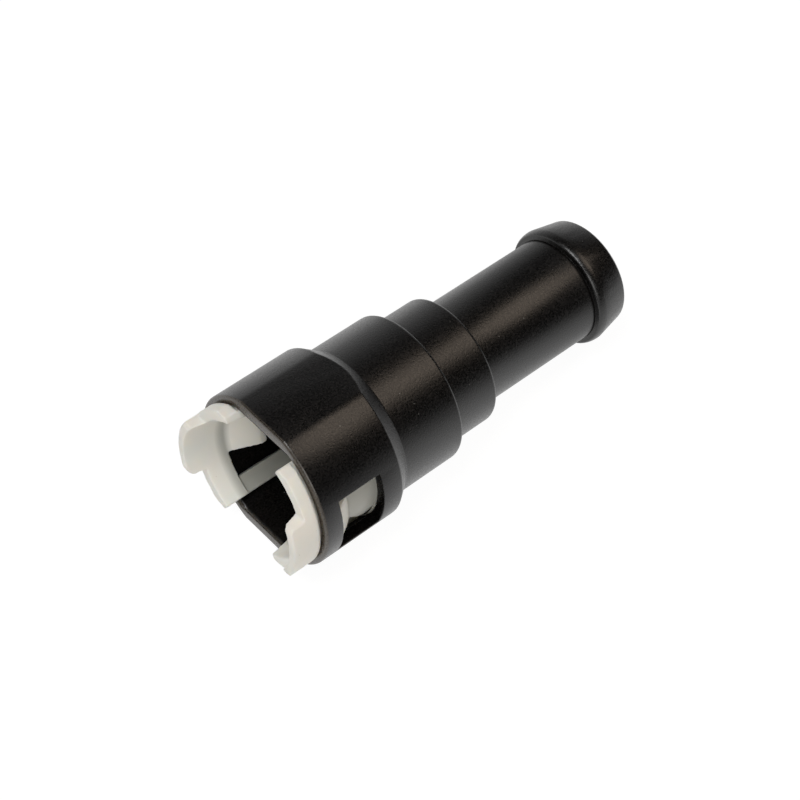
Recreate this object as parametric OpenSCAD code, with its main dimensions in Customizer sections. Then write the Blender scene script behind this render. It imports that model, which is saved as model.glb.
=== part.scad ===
// Quick-connect heater hose connector, in millimetres.
// A black moulded body has a windowed socket at one end and a beaded hose stem at the other.
// A white moulded retainer sits in the socket. Its barbs catch in the windows and its two
// inner leaves hold the bead of the metal tube. Squeezing the two lugs frees the barbs.
// Behind it a bushing, two O-rings and a spacer seal on the tube.
// Every piece is drawn along +Z from the rim of the socket, and then laid down as it rests.

/* [Tube and hose] */
// Outside diameter of the metal tube that the socket takes
tube_d = 15.9; // [14.5:0.1:16.4]
// Inside diameter of the hose that the stem takes, which is the stem's outside diameter
stem_d = 19; // [17.5:0.25:21]
// Diameter of the passage through the stem
flow_d = 14.4; // [11:0.2:15.4]

/* [Socket] */
// Outside diameter of the socket
socket_d = 30.9; // [30:0.1:33]
// Distance across the two outside flats of the socket
flats_across = 29.1; // [28:0.1:29.8]
// Wall of the socket on its round sides
socket_wall = 1.85; // [1.5:0.05:2.2]
// Wall of the socket on its flat sides
flat_wall = 2; // [1.6:0.05:2.4]
// Rounding of the socket's rim
rim_round = 0.5; // [0.2:0.05:0.7]
// Chamfer of the outside flats at the rim
flat_chamfer = 0.25; // [0.15:0.05:0.5]
// Length that the socket's outside runs past the cavity inside it
socket_back = 0.9; // [0.5:0.1:2]
// Radius of the hollow fillet behind the socket
neck_fillet = 2.3; // [1.6:0.1:3]

/* [Windows] */
// Length of wall between the rim and the windows
rim_bridge = 3.4; // [2.8:0.1:4.2]
// Length of a window along the body
window_len = 8.4; // [7.8:0.1:10]
// Width of a window between its parallel sides
window_w = 12.1; // [11.6:0.1:13]

/* [Seal housing and pilot] */
// Outside diameter of the seal housing, the first step behind the socket
seal_od = 26.96; // [25.6:0.1:28]
// Solid length of the seal housing behind its bore
seal_back = 3.3; // [2.4:0.1:5]
// Outside diameter of the tube pilot, the second step
pilot_od = 23.2; // [22:0.1:24.2]
// Length of the tube pilot's outside
pilot_len = 9.2; // [6:0.1:14]
// Wall between the end of the tube and the start of the stem
stop_wall = 1.7; // [1:0.1:3]
// Rounding of the rear edges of both steps
step_round = 0.7; // [0.4:0.05:1.3]

/* [Stem and bead] */
// Length of the plain stem in front of its bead
stem_len = 24.7; // [16:0.1:32]
// Height of the bead above the stem
bead_rise = 1.3; // [0.8:0.1:1.8]
// Length of the bead
bead_len = 7; // [5:0.25:9]
// Length of the rounded front of the bead
bead_nose = 1.5; // [1:0.1:2]
// Fall of the bead's radius from its crest to its rear end
bead_taper = 1; // [0.6:0.1:1.4]

/* [Retainer] */
// Wall of the retainer's collar inside the socket
retainer_wall = 1.75; // [1.5:0.05:2.1]
// Reach of the collar out of the socket
collar_reach = 2.7; // [2:0.1:4]
// Depth of the collar inside the socket
collar_depth = 1.6; // [1.2:0.1:2]
// Height of the collar's flange, in front of the rim, above the part that fits in the socket
collar_rise = 1.1; // [0.8:0.05:1.25]
// Rounding of the rear edge of that flange
collar_round = 0.45; // [0.2:0.05:0.6]
// Depth of the corners taken off the ends of the flange
end_cut = 0.9; // [0.4:0.1:1]
// Length of those corners round the flange
end_cut_w = 2.4; // [1:0.1:3]
// Reach of the lugs beyond the collar
lug_reach = 2.95; // [2:0.05:4.5]
// Width of a lug
lug_w = 12.4; // [10:0.2:15]
// Length of the corners taken off a lug
lug_cut = 0.6; // [0.3:0.1:1.2]
// Width of those corners
lug_cut_w = 0.7; // [0.5:0.1:2.2]
// Widening of the mouth, from the rear of the collar to the tips of the lugs
mouth_flare = 1.4; // [0.8:0.05:1.6]
// Width of the latch arm under a window, and of its barb
arm_w = 10; // [9:0.1:10.1]
// Wall of the latch arm
arm_wall = 1.5; // [1.2:0.05:1.7]
// Height of a barb above its arm
barb_rise = 1.5; // [1:0.05:1.8]
// Length of a barb, with its ramp
barb_len = 2.8; // [2:0.1:3.4]
// Depth of the step round the pad on a latch arm
pad_rise = 0.35; // [0.2:0.05:0.6]
// Distance of the pad's stepped side from the middle of the arm
pad_side = 2.6; // [1.8:0.05:3.4]
// Radius of the rounded corner of that pad
pad_round = 2.3; // [1.2:0.05:2.5]
// Slant of the pad's stepped side, from its rounded corner to the barb
pad_slant = 42; // [30:1:50]
// Angle that a leaf spans round the tube
leaf_span = 48; // [30:0.5:50]
// Thickness of a leaf
leaf_t = 1.9; // [1.4:0.1:2.1]
// Length of the ramp of a leaf along the tube
leaf_ramp = 4.6; // [3.4:0.1:4.8]
// Length of the lip at the end of a leaf
leaf_lip = 1.1; // [0.8:0.05:1.5]
// Gap between a leaf's lip and the tube
leaf_gap = 0.55; // [0.3:0.05:0.8]
// Angle that each of the four rails spans
rail_span = 15; // [10:0.5:18]
// Wall of the rails
rail_wall = 1.2; // [1:0.05:1.7]
// How far the rails and the latch arms lie inside the collar's outside
rail_inset = 0.05; // [0.03:0.01:0.1]
// Length of the closed ring at the rear of the retainer
ring_len = 1.2; // [1:0.1:2]
// Wall of that ring at the flats of the socket
ring_wall = 1.45; // [1:0.05:1.7]
// Room behind that ring, up to the bushing
ring_room = 0.8; // [0.7:0.05:1.5]
// Angle by which the retainer sits turned in the socket
retainer_turn = 3.4; // [0:0.2:3.4]
// Free travel of the retainer along the socket, until its flange meets the rim
retainer_float = 0.25; // [0.15:0.05:0.5]

/* [Seals] */
// Section of an O-ring
o_ring_section = 2.8; // [2.4:0.05:3]
// Thickness of the flange of the bushing
flange_t = 1; // [0.8:0.1:1.6]
// Length of the sleeve of the bushing
sleeve_len = 4; // [3:0.1:5]
// Length of the spacer between the O-rings
spacer_len = 2.4; // [1.6:0.1:3.4]

/* [Clearances] */
// Radial clearance of the tube in its pilot bore
tube_play = 0.1; // [0.06:0.01:0.2]
// Radial clearance of the O-rings on the tube
seal_play = 0.15; // [0.12:0.01:0.2]
// Clearance of the retainer in the socket
retainer_play = 0.15; // [0.1:0.01:0.2]
// Clearance of the collar's ends from the flat walls of the socket
end_gap = 0.24; // [0.2:0.02:1.4]
// Gap between a barb and the front edge of its window
barb_gap = 0.05; // [0.03:0.01:0.1]
// Clearance of each seal piece in its bore and from its neighbours
seal_gap = 0.05; // [0.03:0.01:0.1]
// Radial clearance of the bushing and the spacer on the tube
bushing_play = 0.35; // [0.3:0.01:0.5]

/* [Hidden] */
$fn = 96;
over = 1;
edge = 0.25;
entry = 0.5;
base_fillet = 0.4;
arc_steps = 8;
quarter = 90;
half_turn = 180;

socket_r = socket_d / 2;
cavity_r = socket_r - socket_wall;
outer_flat = flats_across / 2;
inner_flat = outer_flat - flat_wall;
seal_r = seal_od / 2;
pilot_r = pilot_od / 2;
stem_r = stem_d / 2;
flow_r = flow_d / 2;
bead_r = stem_r + bead_rise;
tube_r = tube_d / 2;
tube_bore_r = tube_r + tube_play;
ring_in_r = tube_r + seal_play;
seal_bore_r = ring_in_r + o_ring_section + seal_gap;

// Stations along the body, from the rim of the socket
window_end = rim_bridge + window_len;
ring_front = window_end - retainer_play;
ring_rear = ring_front + ring_len;
flange_front = ring_rear + ring_room;
cavity_end = flange_front + flange_t;
socket_end = cavity_end + socket_back;
front_ring_at = cavity_end + sleeve_len + 2 * seal_gap + o_ring_section / 2;
spacer_at = front_ring_at + o_ring_section / 2 + 2 * seal_gap;
rear_ring_at = spacer_at + spacer_len + 2 * seal_gap + o_ring_section / 2;
seal_end = rear_ring_at + o_ring_section / 2 + 2 * seal_gap;
seal_out_end = seal_end + seal_back;
pilot_end = seal_out_end + pilot_len;
tube_stop = pilot_end - stop_wall;
bead_start = pilot_end + stem_len;
bead_crest = bead_start + bead_nose;
tail = bead_start + bead_len;

// Radii and stations of the retainer
retainer_r = cavity_r - retainer_play;
retainer_in_r = retainer_r - retainer_wall;
collar_r = retainer_r + collar_rise;
lug_front = -collar_reach - lug_reach;
retainer_flat = inner_flat - retainer_play;
rail_r = retainer_r - rail_inset;
rail_in_r = rail_r - rail_wall;
arm_in_r = rail_r - arm_wall;
ring_middle = ring_front + ring_len / 2;
barb_front = rim_bridge + barb_gap;
barb_end = barb_front + barb_len;
leaf_r = tube_r + leaf_gap;
leaf_end = collar_depth + leaf_ramp;

// The ends of each half of the collar come up to the flat walls, and never up to the other half
least_opening = 6;
end_reach = min(inner_flat - end_gap, retainer_r * cos(least_opening));
collar_span = 2 * (asin(end_reach / retainer_r) - retainer_turn);

// The body rests on the rear edge of its bottom flat and on the crest of the bead.
// That edge lies in the hollow fillet, or at the rear of the seal housing where the flats cut into it.
neck_c = [seal_r + neck_fillet, socket_end + neck_fillet];
step_left = outer_flat - (seal_r - step_round);
flat_end = outer_flat > seal_r
    ? neck_c[1] - sqrt(pow(neck_fillet, 2) - pow(neck_c[0] - outer_flat, 2))
    : step_left > 0
        ? seal_out_end - step_round + sqrt(pow(step_round, 2) - pow(step_left, 2))
        : seal_out_end;
tilt = atan((outer_flat - bead_r) / (bead_crest - flat_end));
lift = flat_end * sin(tilt) + outer_flat * cos(tilt);
front_x = lug_front * cos(tilt) - lug_w / 2 * sin(tilt);
rear_x = tail * cos(tilt) + (bead_r - bead_taper) * sin(tilt);

// Points of an arc about c, from angle a0 to a1
function arc(c, r, a0, a1, n = arc_steps) =
    [for (i = [0:n]) c + r * [cos(a0 + (a1 - a0) * i / n), sin(a0 + (a1 - a0) * i / n)]];

// A profile swept through an angle that is centred on +X
module sector(span, profile)
    rotate([0, 0, -span / 2])
        rotate_extrude(angle = span)
            polygon(profile);

// A rectangle in a profile, between two radii and two stations
function band(r0, r1, z0, z1) = [[r0, z0], [r1, z0], [r1, z1], [r0, z1]];

// The space between the two flat sides, from station z0 to z1
module slab(half, z0, z1)
    translate([-half, -socket_d, z0])
        cube([2 * half, 2 * socket_d, z1 - z0]);

// Lays a piece that is drawn along +Z down on the surface, with its tail towards +X
module at_rest()
    translate([-(front_x + rear_x) / 2, 0, lift])
        rotate([0, 90 + tilt, 0])
            children();

module body_outside() {
    neck_start = socket_r - edge;
    neck_a = -acos((neck_start - neck_c[0]) / neck_fillet);
    bead_shoulder = bead_rise * 0.4;
    rotate_extrude()
        polygon(concat(
            [[0, 0]],
            arc([socket_r - rim_round, rim_round], rim_round, -90, 0),
            [[socket_r, socket_end - edge]],
            arc(neck_c, neck_fillet, neck_a, -180, 2 * arc_steps),
            arc([seal_r - step_round, seal_out_end - step_round], step_round, 0, 90),
            arc([pilot_r + base_fillet, seal_out_end + base_fillet], base_fillet, -90, -180, 4),
            arc([pilot_r - step_round, pilot_end - step_round], step_round, 0, 90),
            arc([stem_r + base_fillet, pilot_end + base_fillet], base_fillet, -90, -180, 4),
            [[stem_r, bead_start]],
            [for (a = [0:90 / arc_steps:90])
                [bead_r - bead_shoulder * (1 - sin(a)), bead_crest - bead_nose * cos(a)]],
            [[bead_r - bead_taper, tail - base_fillet], [bead_r - bead_taper - base_fillet, tail], [0, tail]]
        ));
}

// The two flats on the outside of the socket, with a chamfer at the rim
module outside_flats()
    for (side = [0, half_turn])
        rotate([0, 0, side])
            translate([0, socket_d, 0])
                rotate([90, 0, 0])
                    linear_extrude(2 * socket_d)
                        polygon([
                            [outer_flat, flat_chamfer],
                            [outer_flat - flat_chamfer, 0],
                            [outer_flat - flat_chamfer - over, -over],
                            [socket_d, -over],
                            [socket_d, seal_out_end],
                            [outer_flat, seal_out_end]
                        ]);

// The cavity for the retainer, round on two sides and flat on the other two
module cavity()
    intersection() {
        rotate_extrude()
            polygon([
                [0, -over],
                [cavity_r + entry, -over],
                [cavity_r + entry, 0],
                [cavity_r, entry],
                [cavity_r, cavity_end],
                [0, cavity_end]
            ]);
        slab(inner_flat, -2 * over, cavity_end + over);
    }

// The stepped passage from the cavity to the tail
module passage()
    rotate_extrude()
        polygon([
            [0, cavity_end - over],
            [seal_bore_r + entry, cavity_end - over],
            [seal_bore_r + entry, cavity_end],
            [seal_bore_r, cavity_end + entry],
            [seal_bore_r, seal_end],
            [tube_bore_r + entry, seal_end],
            [tube_bore_r, seal_end + entry],
            [tube_bore_r, tube_stop],
            [flow_r, tube_stop],
            [flow_r, tail - entry],
            [flow_r + entry, tail],
            [flow_r + entry, tail + over],
            [0, tail + over]
        ]);

module body()
    color([0.13, 0.13, 0.14])
        at_rest()
            difference() {
                body_outside();
                outside_flats();
                cavity();
                passage();
                translate([-window_w / 2, -socket_d, rim_bridge])
                    cube([window_w, 2 * socket_d, window_len]);
            }

// The collar of one half with its lug: a flared mouth inside, and a flange round the rim outside
module collar_shell()
    sector(collar_span, concat(
        [[retainer_in_r + mouth_flare, lug_front]],
        [[collar_r - edge, lug_front], [collar_r, lug_front + edge]],
        arc([collar_r - collar_round, -retainer_float - collar_round], collar_round, 0, 90, 3),
        [[retainer_r, -retainer_float], [retainer_r, collar_depth], [retainer_in_r, collar_depth]]
    ));

// What is taken off one side of the collar: the space beside the lug, and the lug's corner
module beside_lug()
    rotate([0, 90, 0])
        rotate([0, 0, 90])
            linear_extrude(socket_d)
                polygon([
                    [lug_w / 2 - 2 * lug_cut_w, lug_front - lug_cut],
                    [socket_d, lug_front - lug_cut],
                    [socket_d, -collar_reach],
                    [lug_w / 2, -collar_reach],
                    [lug_w / 2, lug_front + lug_cut]
                ]);

// The corner taken off the end of the flange
module end_corner()
    rotate([0, 0, collar_span / 2])
        translate([0, 0, lug_front])
            linear_extrude(-lug_front)
                polygon([
                    [collar_r - 2 * end_cut, end_cut_w],
                    [collar_r + end_cut, -2 * end_cut_w],
                    [socket_d, -2 * end_cut_w],
                    [socket_d, end_cut_w]
                ]);

// Half of the collar, with its lug
module half_collar()
    difference() {
        collar_shell();
        for (side = [0, 1])
            mirror([0, side, 0]) {
                beside_lug();
                end_corner();
            }
    }

// The two rails that run from the collar of one half to the ring at the rear
module rails()
    for (side = [-1, 1])
        rotate([0, 0, side * (collar_span - rail_span) / 2])
            sector(rail_span, band(rail_in_r, rail_r, collar_depth / 2, ring_middle));

// The latch arm under a window, with the barb that bears on the window's front edge
module latch_arm()
    intersection() {
        sector(quarter, [
            [arm_in_r, collar_depth - edge],
            [rail_r, collar_depth - edge],
            [rail_r, barb_front],
            [rail_r + barb_rise, barb_front],
            [rail_r + barb_rise, barb_front + edge],
            [rail_r, barb_end],
            [rail_r, ring_middle],
            [arm_in_r, ring_middle]
        ]);
        translate([0, -arm_w / 2, -over])
            cube([socket_d, arm_w, cavity_end]);
    }

// The step round the raised pad of a latch arm, which leaves the pad with a slanted side and a round corner
module pad_step() {
    corner = [pad_side - pad_round, ring_front + edge - pad_round];
    meet = corner + pad_round * [cos(pad_slant), -sin(pad_slant)];
    start = barb_end - over;
    difference() {
        sector(quarter, band(rail_r - pad_rise, rail_r + over, barb_end, ring_middle - edge / 2));
        rotate([0, 90, 0])
            rotate([0, 0, 90])
                linear_extrude(socket_d)
                    union() {
                        translate(corner)
                            circle(r = pad_round);
                        polygon([
                            corner,
                            meet,
                            [meet[0] - (meet[1] - start) * tan(pad_slant), start],
                            [-arm_w, start],
                            [-arm_w, ring_rear],
                            [corner[0], ring_rear]
                        ]);
                    }
    }
}

// The leaf that slopes in behind the lug and holds the bead of the tube
module leaf() {
    fall = retainer_in_r - leaf_r;
    slope = sqrt(pow(fall, 2) + pow(leaf_ramp, 2));
    out = leaf_t * leaf_ramp / slope;
    back = leaf_t * fall / slope;
    rear = leaf_end + leaf_lip;
    tip_r = leaf_r + out - fall * (rear - leaf_end - back) / leaf_ramp;
    sector(leaf_span, [
        [retainer_in_r + edge, collar_depth - 2 * edge],
        [leaf_r, leaf_end],
        [leaf_r, rear],
        [tip_r, rear],
        [retainer_in_r + out, collar_depth + back],
        [retainer_in_r + out, collar_depth - 2 * edge]
    ]);
}

// The closed ring that joins the two halves at the rear
module rear_ring()
    intersection() {
        rotate_extrude()
            polygon([
                [retainer_flat - ring_wall + edge, ring_front],
                [retainer_r, ring_front],
                [retainer_r, ring_rear - edge],
                [retainer_r - edge, ring_rear],
                [retainer_flat - ring_wall, ring_rear],
                [retainer_flat - ring_wall, ring_front + edge]
            ]);
        slab(retainer_flat, 0, cavity_end);
    }

module retainer()
    color([0.91, 0.9, 0.86])
        at_rest()
            rotate([0, 0, -90 + retainer_turn])
                union() {
                    for (side = [0, half_turn])
                        rotate([0, 0, side]) {
                            half_collar();
                            rails();
                            difference() {
                                latch_arm();
                                pad_step();
                            }
                            leaf();
                        }
                    rotate([0, 0, 90 - retainer_turn])
                        rear_ring();
                }

// The bushing closes the seal bore: its keyed flange lies on the floor of the cavity
module ring_bushing()
    color([0.2, 0.2, 0.21])
        at_rest()
            difference() {
                union() {
                    intersection() {
                        translate([0, 0, flange_front])
                            cylinder(r = retainer_r, h = flange_t - seal_gap);
                        slab(retainer_flat, 0, cavity_end);
                    }
                    translate([0, 0, flange_front])
                        cylinder(r = seal_bore_r - seal_gap, h = flange_t + sleeve_len);
                }
                rotate_extrude()
                    polygon([
                        [0, flange_front - over],
                        [tube_r + bushing_play + entry + over, flange_front - over],
                        [tube_r + bushing_play, flange_front + entry],
                        [tube_r + bushing_play, front_ring_at],
                        [0, front_ring_at]
                    ]);
            }

// One O-ring, as it is held in the seal bore
module o_ring(at)
    translate([0, 0, at])
        rotate_extrude()
            translate([ring_in_r + o_ring_section / 2, 0])
                circle(d = o_ring_section);

module o_ring_front()
    color([0.1, 0.1, 0.1])
        at_rest()
            o_ring(front_ring_at);

module o_ring_rear()
    color([0.1, 0.1, 0.1])
        at_rest()
            o_ring(rear_ring_at);

module ring_spacer()
    color([0.2, 0.2, 0.21])
        at_rest()
            rotate_extrude()
                polygon(band(tube_r + bushing_play, seal_bore_r - seal_gap, spacer_at, spacer_at + spacer_len));

body();
retainer();
ring_bushing();
o_ring_front();
ring_spacer();
o_ring_rear();
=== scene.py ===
"""Looks of a quick-connect heater hose connector: black moulded body, white retainer, seals and studio."""
import math

import bmesh
import bpy
from mathutils import Matrix, Vector


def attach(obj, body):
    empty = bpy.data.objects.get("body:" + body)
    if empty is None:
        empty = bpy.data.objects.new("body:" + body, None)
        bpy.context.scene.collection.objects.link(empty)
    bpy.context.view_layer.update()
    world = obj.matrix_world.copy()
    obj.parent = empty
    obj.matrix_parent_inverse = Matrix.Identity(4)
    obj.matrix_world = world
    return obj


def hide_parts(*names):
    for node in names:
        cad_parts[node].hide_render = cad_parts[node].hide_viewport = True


bl_info = {
    "name": "Heater Hose Connector",
    "version": (1, 0, 0),
    "blender": (4, 5, 0),
    "location": "View3D > Sidebar > Hose Connector",
    "description": "Dresses a quick-connect heater hose connector with moulded plastics and lights it",
    "category": "Object",
}

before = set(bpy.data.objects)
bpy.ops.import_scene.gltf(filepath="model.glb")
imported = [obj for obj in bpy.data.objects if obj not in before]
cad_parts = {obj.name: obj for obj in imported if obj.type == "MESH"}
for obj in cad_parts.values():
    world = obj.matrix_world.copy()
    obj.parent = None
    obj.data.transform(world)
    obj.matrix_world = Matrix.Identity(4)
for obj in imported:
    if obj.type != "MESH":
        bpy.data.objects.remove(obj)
MM = 0.001

# How the connector lies: the centre of the socket's rim, and the fall of the axis towards the bead
RIM = (-32.843 * MM, 0, 15.702 * MM)
TILT = math.radians(4.3026)

# Sizes of the body. A station is a distance behind the rim, along the axis.
SOCKET_RADIUS = 15.45 * MM
HOUSING_RADIUS = 13.48 * MM
BAND_FRONT = 15.2 * MM
BAND_REAR = 17.9 * MM
BEAD_START = 64 * MM

# Zones of the materials: where each starts, is full, fades again and ends
# The cavity and groove zones mark where shade is painted on the body by cutting its specular
CAVITY_STATIONS = (0.5 * MM, 0.8 * MM, 15.0 * MM, 15.2 * MM)
CAVITY_HEIGHTS = (-14.45 * MM, -14.35 * MM, 14.35 * MM, 14.45 * MM)
GROOVE_STATIONS = (
    BEAD_START - 0.45 * MM, BEAD_START - 0.1 * MM, BEAD_START + 0.15 * MM, BEAD_START + 0.3 * MM)
# The next radii bound the dark olive painted as shade on the retainer's thin webs
WEB_RADII = (12.9 * MM, 13.0 * MM, 13.16 * MM, 13.28 * MM)

# Soft limits of the materials: where each starts to take hold, and where it is full
RIM_SKIN = (0.5 * MM, 0.25 * MM)
# The socket skin and bead corner limits also bound that painted shade on the body
UNDER_SOCKET_SKIN = (15.3 * MM, 15.2 * MM)
UNDER_BEAD_CORNER = (10.40 * MM, 10.24 * MM)
# The next three limits bound the grey painted as shade on the retainer inside the socket
INSIDE_SOCKET = (-0.3 * MM, 1.2 * MM)
OUTSIDE_LEAVES = (11.2 * MM, 11.9 * MM)
UNDER_BARBS = (13.7 * MM, 13.5 * MM)
# This limit also bounds that painted shade on the thin webs, behind the pad fronts
BEHIND_PAD_FRONTS = (6.4 * MM, 6.7 * MM)

# Points closer than this are welded, and faces flatter than this are joined, before edges are rounded
WELD = 0.002 * MM
FLAT_ANGLE = 0.01

# Direction components between which the white screen of the room rises
SCREEN_HEIGHT = (0.70, 0.22)
SCREEN_SIDE = (0.10, 0.55)
SENSOR_WIDTH = 36


class BodyLook(bpy.types.PropertyGroup):
    """The black moulded body."""
    colour: bpy.props.FloatVectorProperty(
        name="Colour", description="Colour of the black nylon",
        subtype="COLOR", size=3, min=0, max=1, default=(0.0025, 0.0022, 0.0021))
    # A brown colour laid on the rim's face
    rim_brown: bpy.props.FloatVectorProperty(
        name="Worn", description="Brown colour of the dry skin on the rim",
        subtype="COLOR", size=3, min=0, max=1, default=(0.075, 0.062, 0.048))
    dust: bpy.props.FloatVectorProperty(
        name="Dust", description="Colour of the few grains of dust",
        subtype="COLOR", size=3, min=0, max=1, default=(0.25, 0.24, 0.22))
    roughness: bpy.props.FloatProperty(
        name="Roughness", description="Roughness of the moulded skin",
        min=0, max=1, default=0.30)
    grain: bpy.props.FloatProperty(
        name="Grain", description="Size of the fine grain that the mould leaves",
        subtype="DISTANCE", unit="LENGTH", default=0.3 * MM)
    edge: bpy.props.FloatProperty(
        name="Edge", description="Rounding of the moulded edges",
        subtype="DISTANCE", unit="LENGTH", default=0.14 * MM)
    edge_angle: bpy.props.FloatProperty(
        name="Edge Angle", description="Least angle at which an edge is rounded",
        subtype="ANGLE", unit="ROTATION", default=math.radians(32))
    crease_angle: bpy.props.FloatProperty(
        name="Crease Angle", description="Least angle at which an edge is shaded sharp",
        subtype="ANGLE", unit="ROTATION", default=math.radians(30))
    cone_front: bpy.props.FloatProperty(
        name="Cone Front", description="Station where the cone behind the socket starts",
        subtype="DISTANCE", unit="LENGTH", default=15.4 * MM)
    cone_rear: bpy.props.FloatProperty(
        name="Cone Rear", description="Station where that cone meets the seal housing",
        subtype="DISTANCE", unit="LENGTH", default=18.1 * MM)


class RetainerLook(bpy.types.PropertyGroup):
    """The white moulded retainer."""
    colour: bpy.props.FloatVectorProperty(
        name="Colour", description="Colour of the white nylon",
        subtype="COLOR", size=3, min=0, max=1, default=(0.92, 0.88, 0.80))
    tint: bpy.props.FloatVectorProperty(
        name="Tint", description="Greenish colour that clouds the nylon",
        subtype="COLOR", size=3, min=0, max=1, default=(0.87, 0.87, 0.81))
    # Painted shade: grey for the nylon inside the socket, where the black wall lies behind the thin nylon
    backing_shade: bpy.props.FloatVectorProperty(
        name="Backed", description="Colour of the nylon where the black socket shows through it",
        subtype="COLOR", size=3, min=0, max=1, default=(0.42, 0.42, 0.38))
    # Painted shade: dark olive for the thin webs beside the pads
    web_shade: bpy.props.FloatVectorProperty(
        name="Web", description="Colour of the thin web beside the pads, which the dark inside shows through",
        subtype="COLOR", size=3, min=0, max=1, default=(0.045, 0.042, 0.026))
    dirt: bpy.props.FloatVectorProperty(
        name="Dirt", description="Colour of the few brown specks",
        subtype="COLOR", size=3, min=0, max=1, default=(0.35, 0.27, 0.20))
    roughness: bpy.props.FloatProperty(
        name="Roughness", description="Roughness of the moulded skin",
        min=0, max=1, default=0.38)
    glow: bpy.props.FloatProperty(
        name="Glow", description="Depth that light spreads inside the nylon",
        subtype="DISTANCE", unit="LENGTH", default=0.9 * MM)
    voxel: bpy.props.FloatProperty(
        name="Voxel", description="Mesh size of the softened moulding",
        subtype="DISTANCE", unit="LENGTH", default=0.16 * MM)
    passes: bpy.props.IntProperty(
        name="Passes", description="How often the mesh is smoothed to soften its edges",
        min=0, max=20, default=4)
    smoothing: bpy.props.FloatProperty(
        name="Smoothing", description="How far a point moves in one pass, as a share of the way",
        min=0, max=1, default=0.5)


class SealLook(bpy.types.PropertyGroup):
    """The O-rings, spacer and bushing."""
    rubber: bpy.props.FloatVectorProperty(
        name="Rubber", description="Colour of the O-rings",
        subtype="COLOR", size=3, min=0, max=1, default=(0.012, 0.012, 0.012))
    plastic: bpy.props.FloatVectorProperty(
        name="Plastic", description="Colour of the spacer and the bushing",
        subtype="COLOR", size=3, min=0, max=1, default=(0.02, 0.02, 0.021))


class Studio(bpy.types.PropertyGroup):
    """Camera, floor and light."""
    azimuth: bpy.props.FloatProperty(
        name="Azimuth", description="Direction of the camera from the connector, about +Z from +X",
        subtype="ANGLE", unit="ROTATION", default=math.radians(-129.595))
    elevation: bpy.props.FloatProperty(
        name="Elevation", description="Height of the camera above the floor's plane",
        subtype="ANGLE", unit="ROTATION", default=math.radians(52.533))
    roll: bpy.props.FloatProperty(
        name="Roll", description="Turn of the camera about its own axis",
        subtype="ANGLE", unit="ROTATION", default=math.radians(-2.553))
    distance: bpy.props.FloatProperty(
        name="Distance", description="Distance of the camera from the point that it looks at",
        subtype="DISTANCE", unit="LENGTH", default=322.927 * MM)
    aim: bpy.props.FloatVectorProperty(
        name="Aim", description="Point that the camera looks at",
        subtype="XYZ", unit="LENGTH", size=3, default=(-6.084 * MM, -2.090 * MM, 15 * MM))
    lens: bpy.props.FloatProperty(
        name="Lens", description="Focal length in millimetres on a 36 mm sensor",
        min=20, max=300, default=90)
    floor_size: bpy.props.FloatProperty(
        name="Floor Size", description="Width of the pale floor",
        subtype="DISTANCE", unit="LENGTH", default=3.0)
    floor_level: bpy.props.FloatProperty(
        name="Floor Level", description="Brightness of the floor's own white for the camera",
        min=0, max=2, default=1.11)
    white_share: bpy.props.FloatProperty(
        name="White Share", description="Share of the floor that is its own white, and keeps no shadow",
        min=0, max=1, default=0.85)
    near_level: bpy.props.FloatProperty(
        name="Near Level", description="Brightness of the near end of the table where it is mirrored",
        min=0, max=1, default=0.3)
    near_end: bpy.props.FloatProperty(
        name="Near End", description="Place along Y before which the table is mirrored dim",
        subtype="DISTANCE", unit="LENGTH", default=-0.10)
    far_end: bpy.props.FloatProperty(
        name="Far End", description="Place along Y behind which the table is mirrored white",
        subtype="DISTANCE", unit="LENGTH", default=-0.025)
    room_level: bpy.props.FloatProperty(
        name="Room Level", description="Brightness of the ceiling and of the near side of the room",
        min=0, max=2, default=0.01)
    screen_level: bpy.props.FloatProperty(
        name="Screen Level", description="Brightness of the white screen behind the table",
        min=0, max=2, default=0.55)
    light_aim: bpy.props.FloatVectorProperty(
        name="Light Aim", description="Point that the three lights are turned to",
        subtype="XYZ", unit="LENGTH", size=3, default=(0, 0, 10 * MM))
    key_power: bpy.props.FloatProperty(
        name="Key Power", description="Power of the warm soft light over the connector",
        subtype="POWER", unit="POWER", default=0.95)
    key_place: bpy.props.FloatVectorProperty(
        name="Key Place", description="Centre of the warm soft light",
        subtype="XYZ", unit="LENGTH", size=3, default=(0.406, -0.26, 0.638))
    key_size: bpy.props.FloatProperty(
        name="Key Size", description="Width of the warm soft light",
        subtype="DISTANCE", unit="LENGTH", default=0.42)
    key_colour: bpy.props.FloatVectorProperty(
        name="Key Colour", description="Colour of the warm soft light",
        subtype="COLOR", size=3, min=0, max=1, default=(1, 0.83, 0.68))
    top_power: bpy.props.FloatProperty(
        name="Top Power", description="Power of the soft light over the socket",
        subtype="POWER", unit="POWER", default=4.0)
    top_place: bpy.props.FloatVectorProperty(
        name="Top Place", description="Centre of the soft light over the socket",
        subtype="XYZ", unit="LENGTH", size=3, default=(-0.3, 0, 0.88))
    top_size: bpy.props.FloatProperty(
        name="Top Size", description="Width of the soft light over the socket",
        subtype="DISTANCE", unit="LENGTH", default=0.5)
    top_colour: bpy.props.FloatVectorProperty(
        name="Top Colour", description="Colour of the soft light over the socket",
        subtype="COLOR", size=3, min=0, max=1, default=(1, 1, 1))
    fill_power: bpy.props.FloatProperty(
        name="Fill Power", description="Power of the soft light beside the camera",
        subtype="POWER", unit="POWER", default=2.7)
    fill_place: bpy.props.FloatVectorProperty(
        name="Fill Place", description="Centre of the soft light beside the camera",
        subtype="XYZ", unit="LENGTH", size=3, default=(-0.4, -0.65, 0.45))
    fill_size: bpy.props.FloatProperty(
        name="Fill Size", description="Width of the soft light beside the camera",
        subtype="DISTANCE", unit="LENGTH", default=0.6)
    fill_colour: bpy.props.FloatVectorProperty(
        name="Fill Colour", description="Colour of the soft light beside the camera",
        subtype="COLOR", size=3, min=0, max=1, default=(1, 0.99, 0.97))


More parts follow.
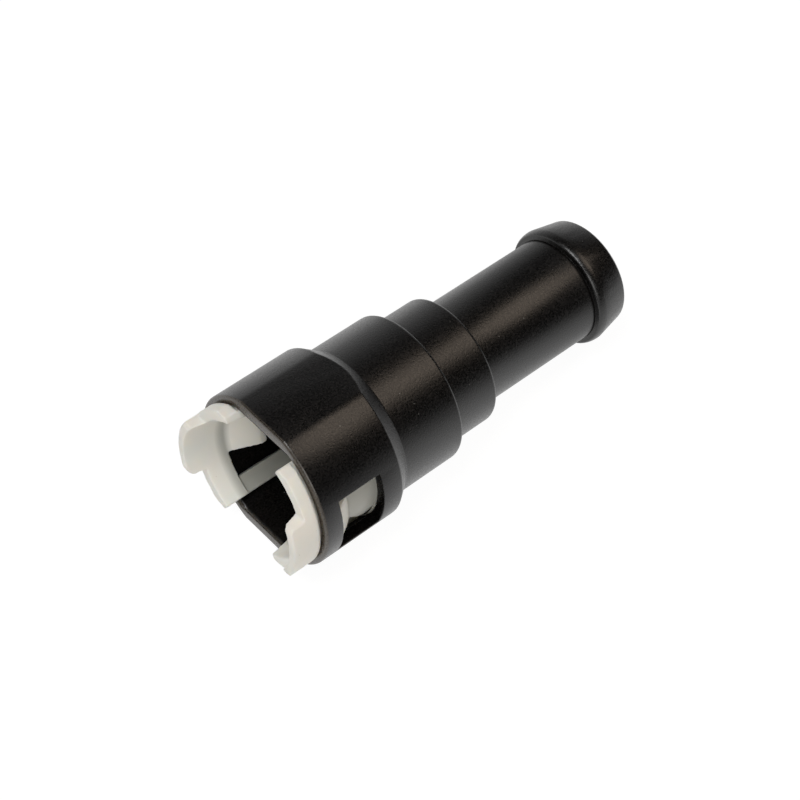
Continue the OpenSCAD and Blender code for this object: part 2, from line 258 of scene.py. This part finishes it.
class ConnectorLook(bpy.types.PropertyGroup):
    """Everything that a user may change on the connector."""
    body: bpy.props.PointerProperty(type=BodyLook, name="Body", description="The black moulded body")
    retainer: bpy.props.PointerProperty(
        type=RetainerLook, name="Retainer", description="The white moulded retainer")
    seals: bpy.props.PointerProperty(type=SealLook, name="Seals", description="The sealing pieces")
    studio: bpy.props.PointerProperty(type=Studio, name="Studio", description="Camera, floor and light")


def look():
    """The scene's settings for this connector."""
    return bpy.context.scene.hose_connector


def empty_tree(owner):
    """The emptied node tree of a material or a world."""
    owner.use_nodes = True
    owner.node_tree.nodes.clear()
    return owner.node_tree


def new_material(name):
    """A material with its node tree and its Principled shader."""
    mat = bpy.data.materials.new(name)
    tree = empty_tree(mat)
    out = tree.nodes.new("ShaderNodeOutputMaterial")
    shader = tree.nodes.new("ShaderNodeBsdfPrincipled")
    tree.links.new(shader.outputs["BSDF"], out.inputs["Surface"])
    return mat, tree, shader


def object_point(tree):
    """Object coordinates, which are the frame's own metres."""
    return tree.nodes.new("ShaderNodeTexCoord").outputs["Object"]


def separate(tree, vector):
    """The X, Y and Z of a vector."""
    node = tree.nodes.new("ShaderNodeSeparateXYZ")
    tree.links.new(vector, node.inputs["Vector"])
    return node.outputs["X"], node.outputs["Y"], node.outputs["Z"]


def along_axis(tree):
    """The station behind the socket's rim, the distance from the axis, and the height over it."""
    turn = tree.nodes.new("ShaderNodeMapping")
    turn.inputs["Location"].default_value = (
        -RIM[0] * math.cos(TILT) + RIM[2] * math.sin(TILT), 0,
        -RIM[0] * math.sin(TILT) - RIM[2] * math.cos(TILT))
    turn.inputs["Rotation"].default_value = (0, -TILT, 0)
    tree.links.new(object_point(tree), turn.inputs["Vector"])
    station, side, height = separate(tree, turn.outputs["Vector"])
    across = tree.nodes.new("ShaderNodeCombineXYZ")
    tree.links.new(side, across.inputs["Y"])
    tree.links.new(height, across.inputs["Z"])
    radius = tree.nodes.new("ShaderNodeVectorMath")
    radius.operation = "LENGTH"
    tree.links.new(across.outputs["Vector"], radius.inputs[0])
    return station, radius.outputs["Value"], height


def combine(tree, operation, first, second):
    """Two values joined by a Math node's operation."""
    node = tree.nodes.new("ShaderNodeMath")
    node.operation = operation
    tree.links.new(first, node.inputs[0])
    tree.links.new(second, node.inputs[1])
    return node.outputs["Value"]


def product(tree, first, second):
    """Two values multiplied."""
    return combine(tree, "MULTIPLY", first, second)


def noise(tree, point, size, detail):
    """Noise whose features are about the given size in metres."""
    node = tree.nodes.new("ShaderNodeTexNoise")
    node.inputs["Scale"].default_value = 1 / size
    node.inputs["Detail"].default_value = detail
    tree.links.new(point, node.inputs["Vector"])
    return node.outputs["Fac"]


def spread(tree, value, low, high, to_low=0.0, to_high=1.0):
    """A value's range from low to high mapped to another range, and held there."""
    node = tree.nodes.new("ShaderNodeMapRange")
    node.inputs["From Min"].default_value = low
    node.inputs["From Max"].default_value = high
    node.inputs["To Min"].default_value = to_low
    node.inputs["To Max"].default_value = to_high
    tree.links.new(value, node.inputs["Value"])
    return node.outputs["Result"]


def zone(tree, value, bounds):
    """1 inside a zone and 0 outside. The bounds say where it starts, is full, fades again and ends."""
    start, full, fade, end = bounds
    return product(tree, spread(tree, value, start, full), spread(tree, value, end, fade))


def blend_colours(tree, factor, first, second):
    """Two colours mixed by a factor. Each is a socket or an (r, g, b)."""
    node = tree.nodes.new("ShaderNodeMix")
    node.data_type = "RGBA"
    tree.links.new(factor, node.inputs["Factor"])
    for name, colour in (("A", first), ("B", second)):
        socket = [s for s in node.inputs if s.name == name and s.type == "RGBA"][0]
        if isinstance(colour, bpy.types.NodeSocket):
            tree.links.new(colour, socket)
        else:
            socket.default_value = (*colour, 1)
    return [s for s in node.outputs if s.type == "RGBA"][0]


def bump(tree, height, depth, strength=1.0):
    """Relief of the given depth in metres."""
    node = tree.nodes.new("ShaderNodeBump")
    node.inputs["Strength"].default_value = strength
    node.inputs["Distance"].default_value = depth
    tree.links.new(height, node.inputs["Height"])
    return node.outputs["Normal"]


def scaled(colour, factor):
    """A colour made lighter or darker."""
    return tuple(min(1.0, c * factor) for c in colour)


def body_tone(tree, settings, grain, station):
    """Black with faint flow marks and lighter grain, brown on the rim, and a few grains of dust."""
    point = object_point(tree)
    flow = noise(tree, point, size=9 * MM, detail=3)
    dust = noise(tree, point, size=0.9 * MM, detail=1)
    tone = blend_colours(
        tree, spread(tree, flow, 0.35, 0.65), scaled(settings.colour, 0.7), scaled(settings.colour, 1.3))
    tone = blend_colours(tree, spread(tree, grain, 0.5, 0.72), tone, scaled(settings.colour, 3.5))
    # Brown laid patchily on the rim's face
    rim = spread(tree, station, *RIM_SKIN)
    patchy = spread(tree, grain, 0.2, 0.7, 0.5, 1.0)
    tone = blend_colours(tree, product(tree, rim, patchy), tone, settings.rim_brown)
    return blend_colours(tree, spread(tree, dust, 0.80, 0.82, 0, 0.5), tone, settings.dust)


def outside_painted_shade(tree, station, radius, height):
    """1 on open faces, and 0 where shade is painted: in the socket, on its window walls and in the groove
    before the bead.
    """
    cavity = product(tree, zone(tree, station, CAVITY_STATIONS), zone(tree, height, CAVITY_HEIGHTS))
    cavity = product(tree, cavity, spread(tree, radius, *UNDER_SOCKET_SKIN))
    groove = product(tree, zone(tree, station, GROOVE_STATIONS), spread(tree, radius, *UNDER_BEAD_CORNER))
    return product(tree, spread(tree, cavity, 0, 1, 1, 0), spread(tree, groove, 0, 1, 1, 0))


def black_nylon(settings):
    """Black moulded nylon with fine grain, glossy on open faces, with shade painted into its hollows by
    cutting the specular.
    """
    mat, tree, shader = new_material("black_nylon")
    station, radius, height = along_axis(tree)
    grain = noise(tree, object_point(tree), size=settings.grain, detail=1)
    tree.links.new(body_tone(tree, settings, grain, station), shader.inputs["Base Color"])
    rough = spread(tree, grain, 0.3, 0.7, settings.roughness - 0.05, settings.roughness + 0.07)
    tree.links.new(rough, shader.inputs["Roughness"])
    # Painted shade: the specular drops from 0.5 to 0.04 in the socket, on its window walls and in the groove
    # before the bead
    gloss_with_painted_shade = spread(tree, outside_painted_shade(tree, station, radius, height), 0, 1, 0.04, 0.5)
    tree.links.new(gloss_with_painted_shade, shader.inputs["Specular IOR Level"])
    shader.inputs["IOR"].default_value = 1.62
    tree.links.new(bump(tree, grain, depth=0.02 * MM), shader.inputs["Normal"])
    return mat


def white_nylon(settings):
    """Off-white nylon. It glows outside the socket; grey is painted on it as shade where the black wall lies
    behind it, and dark olive as shade on the thin webs beside the pads.
    """
    mat, tree, shader = new_material("white_nylon")
    point = object_point(tree)
    station, radius, _ = along_axis(tree)
    cloud = noise(tree, point, size=6 * MM, detail=2)
    speck = noise(tree, point, size=0.7 * MM, detail=2)
    tone = blend_colours(tree, spread(tree, cloud, 0.35, 0.65), settings.colour, settings.tint)
    # Painted shade: grey on the nylon inside the socket, beyond the leaves and below the barbs
    backing_shade = product(tree, spread(tree, station, *INSIDE_SOCKET), spread(tree, radius, *OUTSIDE_LEAVES))
    backing_shade = product(tree, backing_shade, spread(tree, radius, *UNDER_BARBS))
    tone = blend_colours(tree, backing_shade, tone, settings.backing_shade)
    # Painted shade: dark olive on the thin webs beside the pads, behind the pad fronts
    web_shade = product(tree, zone(tree, radius, WEB_RADII), spread(tree, station, *BEHIND_PAD_FRONTS))
    tone = blend_colours(tree, web_shade, tone, settings.web_shade)
    tone = blend_colours(tree, spread(tree, speck, 0.77, 0.80, 0, 0.55), tone, settings.dirt)
    tree.links.new(tone, shader.inputs["Base Color"])
    shader.inputs["Roughness"].default_value = settings.roughness
    shader.inputs["Subsurface Weight"].default_value = 0.35
    shader.inputs["Subsurface Radius"].default_value = (1.0, 0.85, 0.65)
    shader.inputs["Subsurface Scale"].default_value = settings.glow
    waves = noise(tree, point, size=1.1 * MM, detail=3)
    tree.links.new(bump(tree, waves, depth=0.02 * MM, strength=0.5), shader.inputs["Normal"])
    return mat


def seal_rubber(settings):
    """Black rubber with a film of grease."""
    mat, tree, shader = new_material("seal_rubber")
    film = noise(tree, object_point(tree), size=2.5 * MM, detail=2)
    tone = blend_colours(tree, spread(tree, film, 0.3, 0.7), settings.rubber, scaled(settings.rubber, 1.8))
    tree.links.new(tone, shader.inputs["Base Color"])
    tree.links.new(spread(tree, film, 0.3, 0.7, 0.22, 0.42), shader.inputs["Roughness"])
    return mat


def seal_plastic(settings):
    """Dark satin plastic of the spacer and the bushing."""
    mat, tree, shader = new_material("seal_plastic")
    mottle = noise(tree, object_point(tree), size=3 * MM, detail=3)
    tone = blend_colours(
        tree, spread(tree, mottle, 0.3, 0.7), settings.plastic, scaled(settings.plastic, 1.6))
    tree.links.new(tone, shader.inputs["Base Color"])
    shader.inputs["Roughness"].default_value = 0.45
    return mat


def copy_of_node(node, name):
    """A new object with a welded copy of a CAD node's mesh."""
    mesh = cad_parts[node].data.copy()
    mesh.name = name
    shape = bmesh.new()
    shape.from_mesh(mesh)
    bmesh.ops.remove_doubles(shape, verts=shape.verts, dist=WELD)
    bmesh.ops.dissolve_limit(shape, angle_limit=FLAT_ANGLE, verts=shape.verts, edges=shape.edges)
    shape.to_mesh(mesh)
    shape.free()
    normals = mesh.attributes.get("custom_normal")
    if normals:
        mesh.attributes.remove(normals)
    piece = bpy.data.objects.new(name, mesh)
    bpy.context.scene.collection.objects.link(piece)
    return piece


def shape_cone(mesh, settings):
    """Makes a plain cone of the hollow band behind the socket. The points only move along the axis."""
    axis = Vector((math.cos(TILT), 0, -math.sin(TILT)))
    slope = (settings.cone_rear - settings.cone_front) / (SOCKET_RADIUS - HOUSING_RADIUS)
    slack = 0.01 * MM
    for vertex in mesh.vertices:
        from_rim = vertex.co - Vector(RIM)
        station = from_rim.dot(axis)
        radius = (from_rim - station * axis).length
        on_band = HOUSING_RADIUS - slack < radius < SOCKET_RADIUS + slack
        if on_band and BAND_FRONT < station < BAND_REAR:
            vertex.co += axis * (settings.cone_front + slope * (SOCKET_RADIUS - radius) - station)
            vertex.co.z = max(vertex.co.z, 0)


def settle(piece):
    """Applies a piece's modifiers to its mesh."""
    graph = bpy.context.evaluated_depsgraph_get()
    mesh = bpy.data.meshes.new_from_object(piece.evaluated_get(graph))
    piece.modifiers.clear()
    piece.data = mesh


def dress(piece, node, body, material):
    """Puts a piece in a CAD node's place, with its material."""
    piece.data.materials.clear()
    piece.data.materials.append(material)
    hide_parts(node)
    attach(piece, body)


class HOSE_OT_body(bpy.types.Operator):
    """Makes the moulded body with softened edges"""
    bl_idname = "hose.body"
    bl_label = "Moulded Body"

    def execute(self, context):
        settings = look().body
        piece = copy_of_node("body", "moulded_body")
        shape_cone(piece.data, settings)
        soften = piece.modifiers.new("soften", "BEVEL")
        soften.width = settings.edge
        soften.segments = 2
        soften.limit_method = "ANGLE"
        soften.angle_limit = settings.edge_angle
        soften.use_clamp_overlap = False
        soften.harden_normals = False
        settle(piece)
        piece.data.shade_smooth()
        piece.data.set_sharp_from_angle(angle=settings.crease_angle)
        dress(piece, "body", "housing", black_nylon(settings))
        return {"FINISHED"}


class HOSE_OT_retainer(bpy.types.Operator):
    """Makes the white retainer as one soft-edged moulding"""
    bl_idname = "hose.retainer"
    bl_label = "Retainer"

    def execute(self, context):
        settings = look().retainer
        piece = copy_of_node("retainer", "moulded_retainer")
        skin = piece.modifiers.new("skin", "REMESH")
        skin.mode = "VOXEL"
        skin.voxel_size = settings.voxel
        soften = piece.modifiers.new("soften", "SMOOTH")
        soften.factor = settings.smoothing
        soften.iterations = settings.passes
        settle(piece)
        piece.data.shade_smooth()
        dress(piece, "retainer", "retainer", white_nylon(settings))
        return {"FINISHED"}


class HOSE_OT_seals(bpy.types.Operator):
    """Gives the O-rings, the spacer and the bushing their finishes"""
    bl_idname = "hose.seals"
    bl_label = "Seals"

    def execute(self, context):
        settings = look().seals
        rubber = seal_rubber(settings)
        plastic = seal_plastic(settings)
        finishes = {
            "o_ring_front": rubber,
            "o_ring_rear": rubber,
            "ring_spacer": plastic,
            "ring_bushing": plastic,
        }
        for node, material in finishes.items():
            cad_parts[node].material_slots[0].material = material
        return {"FINISHED"}


def studio_camera(settings):
    """The camera at the photograph's place."""
    data = bpy.data.cameras.new("camera")
    data.lens = settings.lens
    data.sensor_width = SENSOR_WIDTH
    data.clip_start = 10 * MM
    camera = bpy.data.objects.new("camera", data)
    flat = math.cos(settings.elevation)
    toward = Vector((
        flat * math.cos(settings.azimuth), flat * math.sin(settings.azimuth), math.sin(settings.elevation)))
    place = Vector(settings.aim) + toward * settings.distance
    turn = toward.to_track_quat("Z", "Y").to_matrix().to_4x4()
    camera.matrix_world = Matrix.Translation(place) @ turn @ Matrix.Rotation(settings.roll, 4, "Z")
    bpy.context.scene.collection.objects.link(camera)
    bpy.context.scene.camera = camera


def area_light(name, settings):
    """One of the studio's three square soft lights, turned to the connector."""
    data = bpy.data.lights.new(name, "AREA")
    data.shape = "SQUARE"
    data.size = getattr(settings, name + "_size")
    data.energy = getattr(settings, name + "_power")
    data.color = getattr(settings, name + "_colour")
    lamp = bpy.data.objects.new(name, data)
    lamp.location = getattr(settings, name + "_place")
    toward = Vector(settings.light_aim) - lamp.location
    lamp.rotation_euler = toward.to_track_quat("-Z", "Y").to_euler()
    bpy.context.scene.collection.objects.link(lamp)


def seen_or_mirrored(tree):
    """1 for rays that come from the camera, a mirror or glass, and 0 for those that carry light."""
    path = tree.nodes.new("ShaderNodeLightPath")
    total = path.outputs["Is Camera Ray"]
    for name in ("Is Glossy Ray", "Is Transmission Ray"):
        total = combine(tree, "MAXIMUM", total, path.outputs[name])
    return total


def white_table(settings):
    """White that the camera sees bright, that mirrors dimmer at its near end, and that keeps a shadow."""
    mat = bpy.data.materials.new("white_table")
    tree = empty_tree(mat)
    out = tree.nodes.new("ShaderNodeOutputMaterial")
    matt = tree.nodes.new("ShaderNodeBsdfDiffuse")
    matt.inputs["Color"].default_value = (0.9, 0.9, 0.9, 1)
    white = tree.nodes.new("ShaderNodeEmission")
    depth = separate(tree, object_point(tree))[1]
    mirrored = spread(tree, depth, settings.near_end, settings.far_end, settings.near_level, 1.0)
    seen = tree.nodes.new("ShaderNodeLightPath").outputs["Is Camera Ray"]
    level = combine(tree, "MAXIMUM", spread(tree, seen, 0, 1, 0, settings.floor_level), mirrored)
    tree.links.new(level, white.inputs["Strength"])
    mix = tree.nodes.new("ShaderNodeMixShader")
    share = spread(tree, seen_or_mirrored(tree), 0, 1, 0, settings.white_share)
    tree.links.new(share, mix.inputs["Fac"])
    tree.links.new(matt.outputs["BSDF"], mix.inputs[1])
    tree.links.new(white.outputs["Emission"], mix.inputs[2])
    tree.links.new(mix.outputs["Shader"], out.inputs["Surface"])
    return mat


def pale_floor(settings):
    """A wide white floor."""
    half = settings.floor_size / 2
    mesh = bpy.data.meshes.new("floor")
    corners = [(-half, -half, 0), (half, -half, 0), (half, half, 0), (-half, half, 0)]
    mesh.from_pydata(corners, [], [(0, 1, 2, 3)])
    floor = bpy.data.objects.new("floor", mesh)
    bpy.context.scene.collection.objects.link(floor)
    mesh.materials.append(white_table(settings))


def room(settings):
    """A dim room with a white screen behind the table. The camera sees it white all round."""
    world = bpy.data.worlds.new("room")
    bpy.context.scene.world = world
    tree = empty_tree(world)
    out = tree.nodes.new("ShaderNodeOutputWorld")
    direction = tree.nodes.new("ShaderNodeTexCoord").outputs["Generated"]
    _, side, height = separate(tree, direction)
    screen = product(tree, spread(tree, height, *SCREEN_HEIGHT), spread(tree, side, *SCREEN_SIDE))
    light = tree.nodes.new("ShaderNodeBackground")
    light.inputs["Color"].default_value = (1, 1, 1, 1)
    level = spread(tree, screen, 0, 1, settings.room_level, settings.screen_level)
    tree.links.new(level, light.inputs["Strength"])
    white = tree.nodes.new("ShaderNodeBackground")
    white.inputs["Color"].default_value = (1, 1, 1, 1)
    seen = tree.nodes.new("ShaderNodeLightPath").outputs["Is Camera Ray"]
    mix = tree.nodes.new("ShaderNodeMixShader")
    tree.links.new(seen, mix.inputs["Fac"])
    tree.links.new(light.outputs["Background"], mix.inputs[1])
    tree.links.new(white.outputs["Background"], mix.inputs[2])
    tree.links.new(mix.outputs["Shader"], out.inputs["Surface"])


class HOSE_OT_stage(bpy.types.Operator):
    """Makes the floor, the room, the lights and the camera"""
    bl_idname = "hose.stage"
    bl_label = "Stage"

    def execute(self, context):
        settings = look().studio
        studio_camera(settings)
        pale_floor(settings)
        room(settings)
        for name in ("key", "top", "fill"):
            area_light(name, settings)
        context.scene.view_settings.view_transform = "Standard"
        return {"FINISHED"}


class HOSE_PT_panel(bpy.types.Panel):
    """Buttons that make the stage and the pieces, and their settings"""
    bl_idname = "HOSE_PT_panel"
    bl_label = "Hose Connector"
    bl_space_type = "VIEW_3D"
    bl_region_type = "UI"
    bl_category = "Hose Connector"

    def draw(self, context):
        for maker in MAKERS:
            self.layout.operator(maker.bl_idname)
        for group in (look().body, look().retainer, look().seals, look().studio):
            for name in group.bl_rna.properties.keys():
                if name not in ("rna_type", "name"):
                    self.layout.prop(group, name)


MAKERS = (HOSE_OT_stage, HOSE_OT_body, HOSE_OT_retainer, HOSE_OT_seals)
CLASSES = (BodyLook, RetainerLook, SealLook, Studio, ConnectorLook) + MAKERS + (HOSE_PT_panel,)


def register():
    """Adds the classes and the scene's settings to Blender."""
    for cls in CLASSES:
        bpy.utils.register_class(cls)
    bpy.types.Scene.hose_connector = bpy.props.PointerProperty(
        type=ConnectorLook, name="Hose Connector", description="Settings of the hose connector")


def unregister():
    """Takes the settings and the classes out again."""
    del bpy.types.Scene.hose_connector
    for cls in reversed(CLASSES):
        bpy.utils.unregister_class(cls)


def main():
    """Makes the stage and all pieces."""
    register()
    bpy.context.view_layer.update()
    bpy.ops.hose.stage()
    bpy.ops.hose.body()
    bpy.ops.hose.retainer()
    bpy.ops.hose.seals()


if __name__ == "__main__":
    main()
